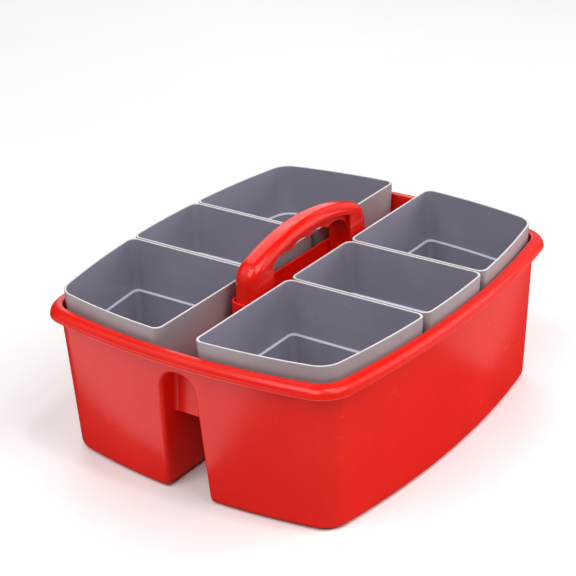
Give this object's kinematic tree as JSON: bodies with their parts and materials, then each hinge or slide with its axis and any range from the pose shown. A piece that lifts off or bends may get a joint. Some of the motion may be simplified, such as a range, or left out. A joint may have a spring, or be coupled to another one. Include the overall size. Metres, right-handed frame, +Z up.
{
  "type": "art supply caddy",
  "caption": "Carry caddy with two bins either side of an arched tunnel, an arched handle over it, and drafted lift-out cups standing in both bins.",
  "frame": {"origin": "on the ground under the middle of the tub", "axes": "+X along the handle and the tunnel, +Y across the bins towards the left row of cups, +Z up"},
  "size_m": [0.33, 0.285, 0.1626],
  "materials": {
    "tub_red": "injection-moulded polypropylene, satin gloss",
    "handle_red": "injection-moulded polypropylene, a little glossier than the tub from handling",
    "cup_grey": "injection-moulded polypropylene, fine satin"
  },
  "bodies": {
    "caddy": {"tub": "tub_red", "handle": "handle_red"},
    "cup_front_left": {"cup_front_left": "cup_grey"},
    "cup_middle_left": {"cup_middle_left": "cup_grey"},
    "cup_back_left": {"cup_back_left": "cup_grey"},
    "cup_front_right": {"cup_front_right": "cup_grey"},
    "cup_middle_right": {"cup_middle_right": "cup_grey"},
    "cup_back_right": {"cup_back_right": "cup_grey"}
  },
  "joints": [
    {"name": "cup_front_left_lift", "type": "slide", "parent": "caddy", "child": "cup_front_left", "axis": [0, 0, 1], "range_m": [0, 0.14]},
    {"name": "cup_middle_left_lift", "type": "slide", "parent": "caddy", "child": "cup_middle_left", "axis": [0, 0, 1], "range_m": [0, 0.14]},
    {"name": "cup_back_left_lift", "type": "slide", "parent": "caddy", "child": "cup_back_left", "axis": [0, 0, 1], "range_m": [0, 0.14]},
    {"name": "cup_front_right_lift", "type": "slide", "parent": "caddy", "child": "cup_front_right", "axis": [0, 0, 1], "range_m": [0, 0.14]},
    {"name": "cup_middle_right_lift", "type": "slide", "parent": "caddy", "child": "cup_middle_right", "axis": [0, 0, 1], "range_m": [0, 0.14]},
    {"name": "cup_back_right_lift", "type": "slide", "parent": "caddy", "child": "cup_back_right", "axis": [0, 0, 1], "range_m": [0, 0.14]}
  ]
}
